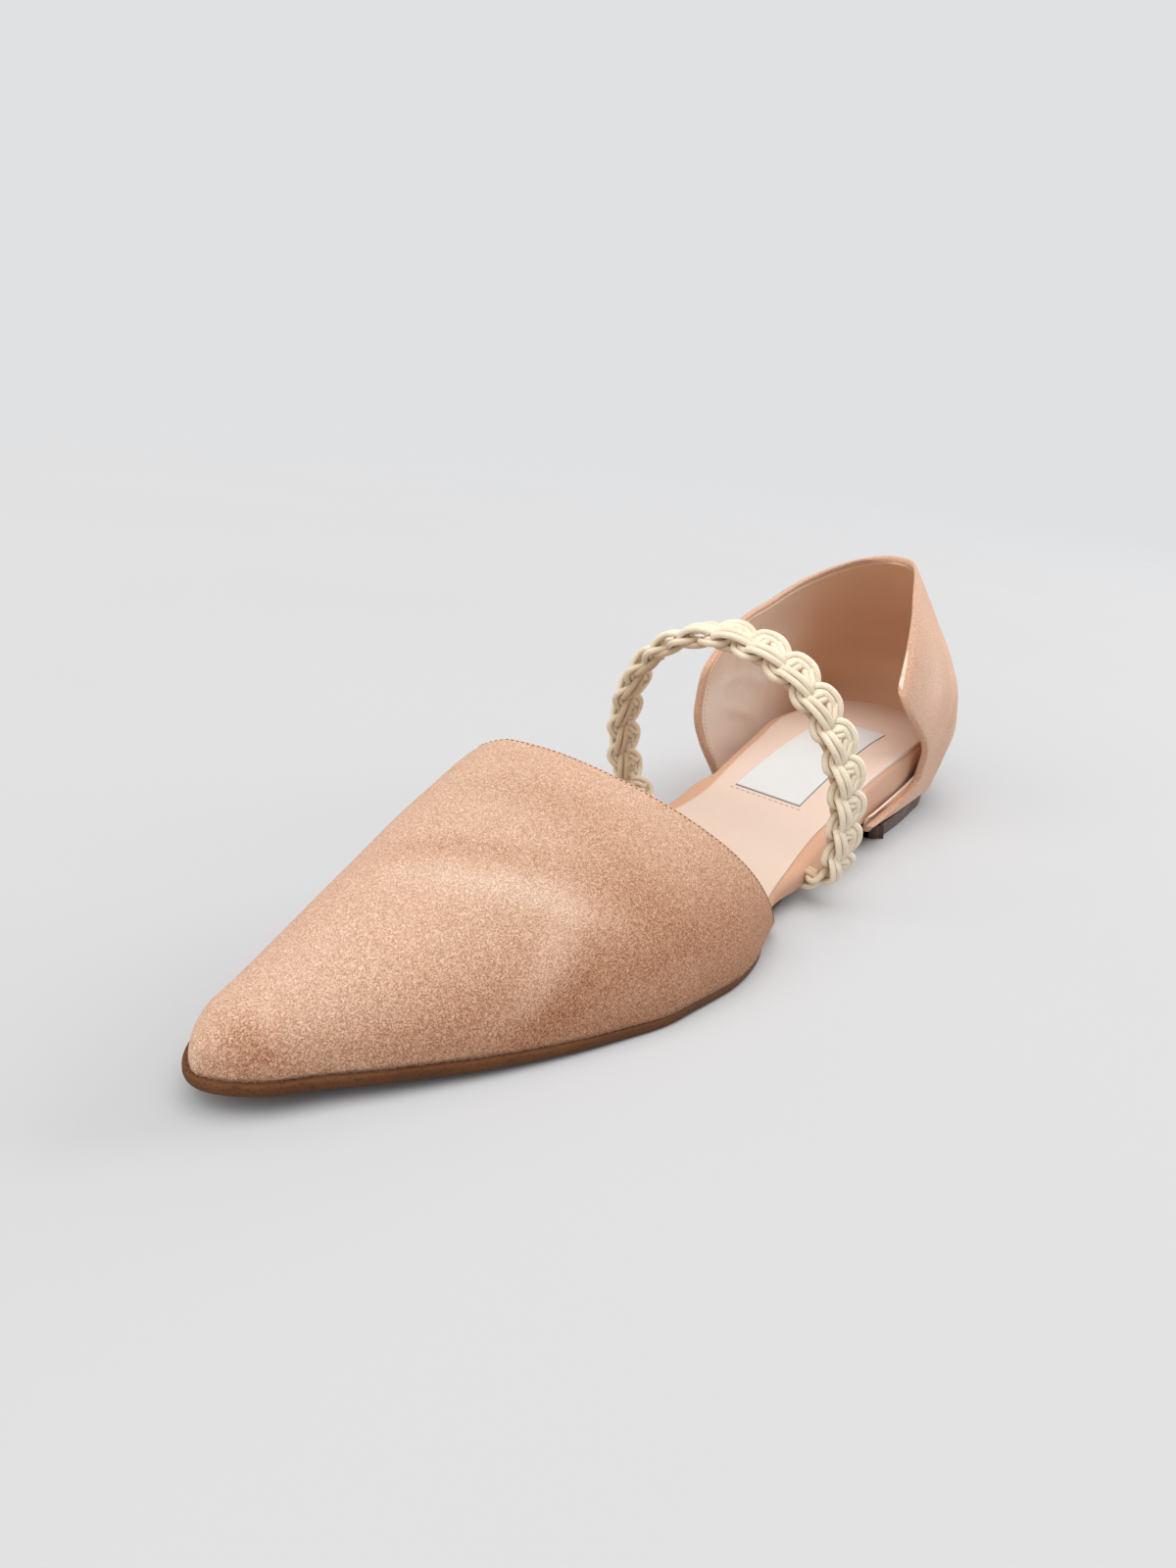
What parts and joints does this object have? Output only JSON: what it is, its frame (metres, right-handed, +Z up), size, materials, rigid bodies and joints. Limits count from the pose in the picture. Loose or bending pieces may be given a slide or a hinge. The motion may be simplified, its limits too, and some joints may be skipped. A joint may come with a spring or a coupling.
{
  "type": "pointed flat shoe with instep strap",
  "caption": "Left shoe: pointed flat with a closed vamp, a separate closed heel cup, open waist sides and a braided elastic strap over the instep",
  "frame": {"origin": "on the floor, on the heel's flat tread, 26 mm ahead of the shoe's back", "axes": "+Y points to the toe, +X to the inner side of the foot, +Z up from the floor"},
  "size_m": [0.0754, 0.2757, 0.0783],
  "materials": {
    "suede": "peach suede with a short fuzzy nap",
    "sock_leather": "smooth pale lining leather",
    "label_cloth": "plain white patch",
    "sole_rubber": "matt brown sole edge",
    "heel_stack": "dark brown stacked heel",
    "braid": "cream elastic cords, braided"
  },
  "bodies": {
    "root": {"outsole": "sole_rubber", "heel": "heel_stack", "platform": "suede", "sock": "sock_leather", "label": "label_cloth", "vamp": "suede", "counter": "suede", "strap": "braid"}
  },
  "joints": []
}
